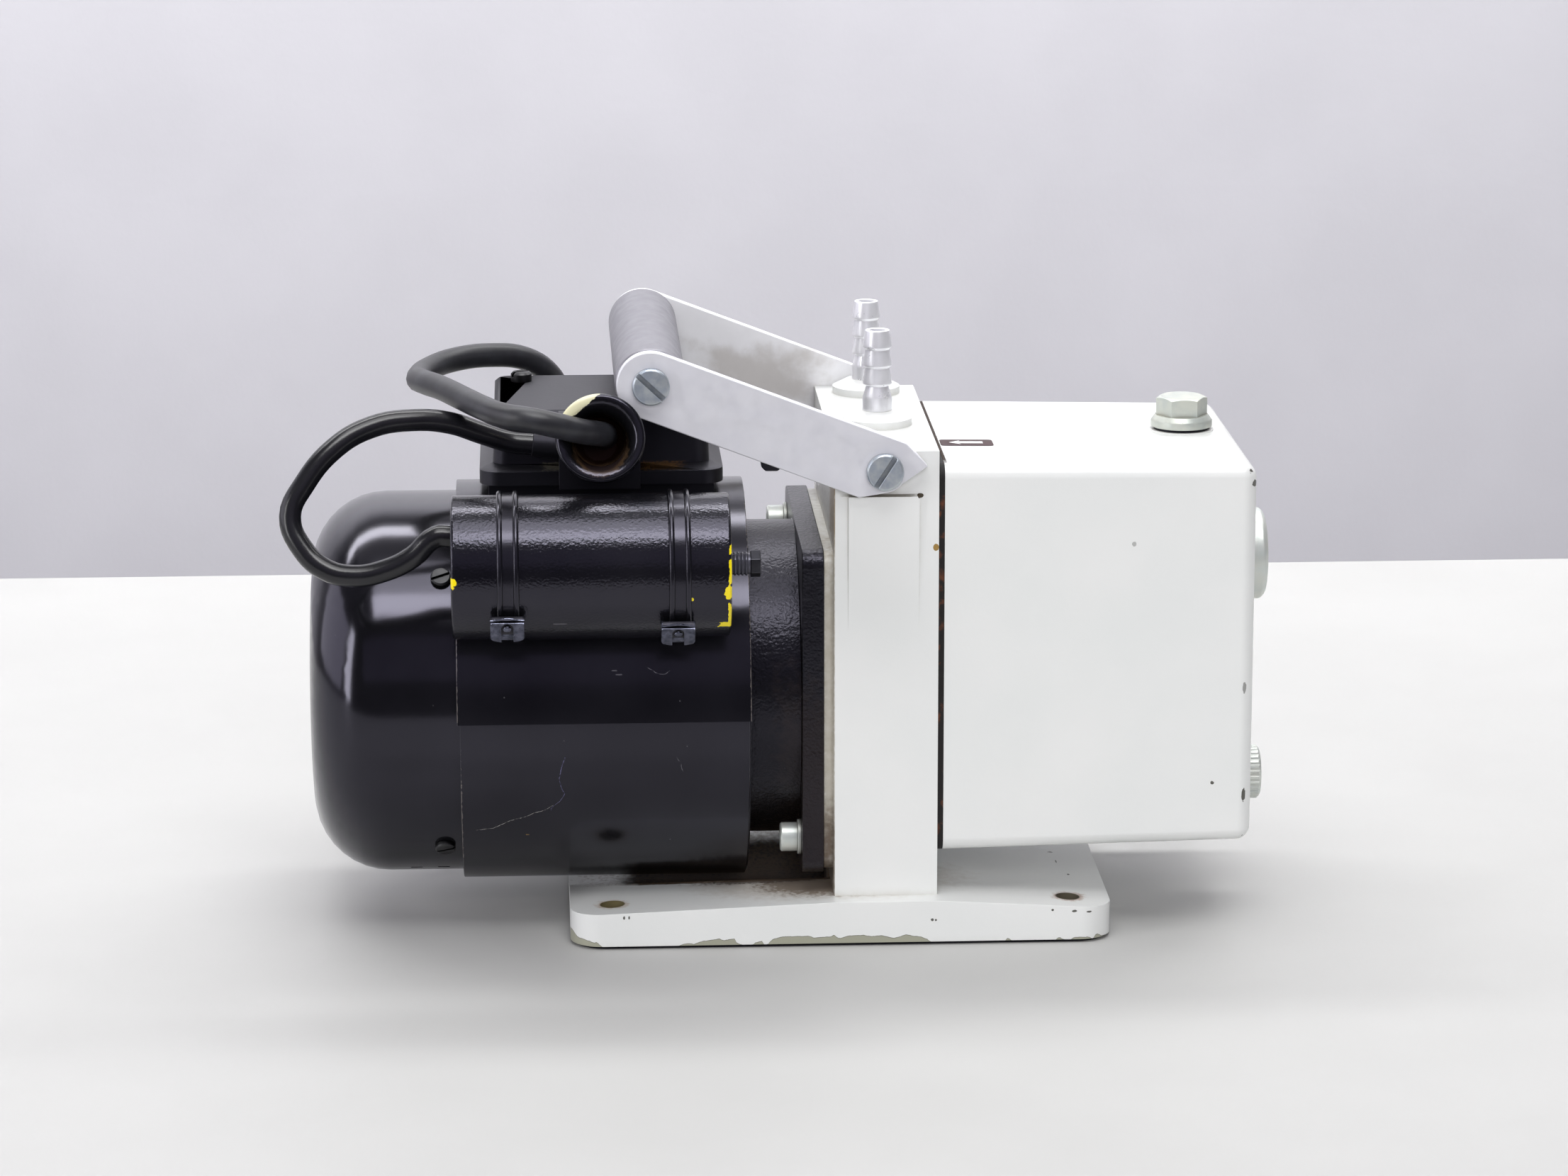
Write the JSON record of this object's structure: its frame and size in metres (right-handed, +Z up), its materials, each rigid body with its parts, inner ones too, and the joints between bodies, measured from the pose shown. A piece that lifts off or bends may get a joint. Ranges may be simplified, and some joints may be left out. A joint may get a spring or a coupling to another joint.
{
  "type": "vacuum pump",
  "caption": "Rotary vane vacuum pump with a black flange motor, white oil box and block, hinged carrying handle and hose barbs on a base plate",
  "frame": {"origin": "centre of the base plate's bolt pattern, on the surface that the rubber mat rests on", "axes": "+X along the shaft from the motor's rear to the oil box, +Y to the back, away from the capacitor, +Z up"},
  "size_m": [0.3407, 0.3274, 0.2073],
  "materials": {
    "white_paint": "semi-gloss enamel, chipped along the lower edges",
    "black_paint": "gloss enamel over sheet steel",
    "black_casting": "rough casting, thinly painted black",
    "black_plastic": "fine-textured moulding",
    "black_gloss": "shiny black enamel on a moulding",
    "machined": "turned, bright",
    "arm_plate": "satin plate with bright edges",
    "grip_metal": "satin",
    "zinc": "blue zinc plate",
    "dark_screw": "black oxide",
    "strap_steel": "dull blue-grey strip",
    "ring_metal": "bright, slightly dulled",
    "mat_rubber": "matt",
    "seal_rubber": "satin",
    "gasket_fibre": "oil-stained fibre sheet",
    "cord_grey": "matt dark grey jacket",
    "cord_black": "satin black jacket",
    "window": "clear, oil behind it",
    "core_steel": "stacked laminations",
    "copper": "varnished copper wire",
    "iron": "ground",
    "vane_resin": "resin-bonded fibre"
  },
  "bodies": {
    "pump": {"base_mat": "mat_rubber", "base_plate": "white_paint", "base_screws": "zinc", "mounting_block": "white_paint", "inlet_barb": "machined", "outlet_barb": "machined", "oil_box_gasket": "gasket_fibre", "oil_box": "white_paint", "oil_box_screws": "zinc", "filler_seal": "seal_rubber", "sight_bezel": "ring_metal", "sight_glass": "window", "drain_seal": "seal_rubber", "adaptor_bell": "black_casting", "flange_screws": "zinc", "flange_washers": "zinc", "motor_shell": "black_paint", "end_cap": "black_paint", "end_cap_screws": "dark_screw", "rear_shield": "iron", "motor_bearings": "core_steel", "stator_core": "core_steel", "stator_windings": "copper", "shaft_seal": "seal_rubber", "pump_stator": "iron", "pump_end_plates": "iron", "exhaust_valve": "core_steel", "terminal_tray": "black_plastic", "terminal_cover": "black_plastic", "cover_screws": "dark_screw", "cable_gland": "black_gloss", "lead_boot": "cord_black", "capacitor": "black_gloss", "capacitor_saddle": "black_paint", "capacitor_straps": "strap_steel", "strap_buckles": "strap_steel", "capacitor_nut": "dark_screw", "pivot_screws": "zinc", "capacitor_lead": "cord_black", "mains_cord": "cord_grey", "mains_coil": "cord_grey", "coil_tie": "black_plastic", "mains_plug": "cord_black"},
    "handle": {"handle_arm_front": "arm_plate", "handle_arm_rear": "arm_plate", "handle_grip": "grip_metal", "grip_screws": "zinc", "arm_buffer": "black_plastic"},
    "rotor": {"motor_rotor": "core_steel", "motor_shaft": "core_steel", "cooling_fan": "black_plastic", "shaft_coupling": "iron", "pump_rotor": "iron", "pump_vanes": "vane_resin", "vane_springs": "core_steel"},
    "filler": {"filler_plug": "zinc"},
    "drain": {"drain_plug": "zinc"}
  },
  "joints": [
    {"name": "handle_lift", "type": "hinge", "parent": "pump", "child": "handle", "pos_m": [0.0143, 0, 0.1653], "axis": [0, 1, 0], "range_deg": [0, 44]},
    {"name": "shaft_spin", "type": "hinge", "parent": "pump", "child": "rotor", "pos_m": [0, 0, 0.0794], "axis": [1, 0, 0], "continuous": true},
    {"name": "filler_lift", "type": "slide", "parent": "pump", "child": "filler", "axis": [0, 0, 1], "range_m": [0, 0.012]},
    {"name": "drain_pull", "type": "slide", "parent": "pump", "child": "drain", "axis": [1, 0, 0], "range_m": [0, 0.01]}
  ]
}
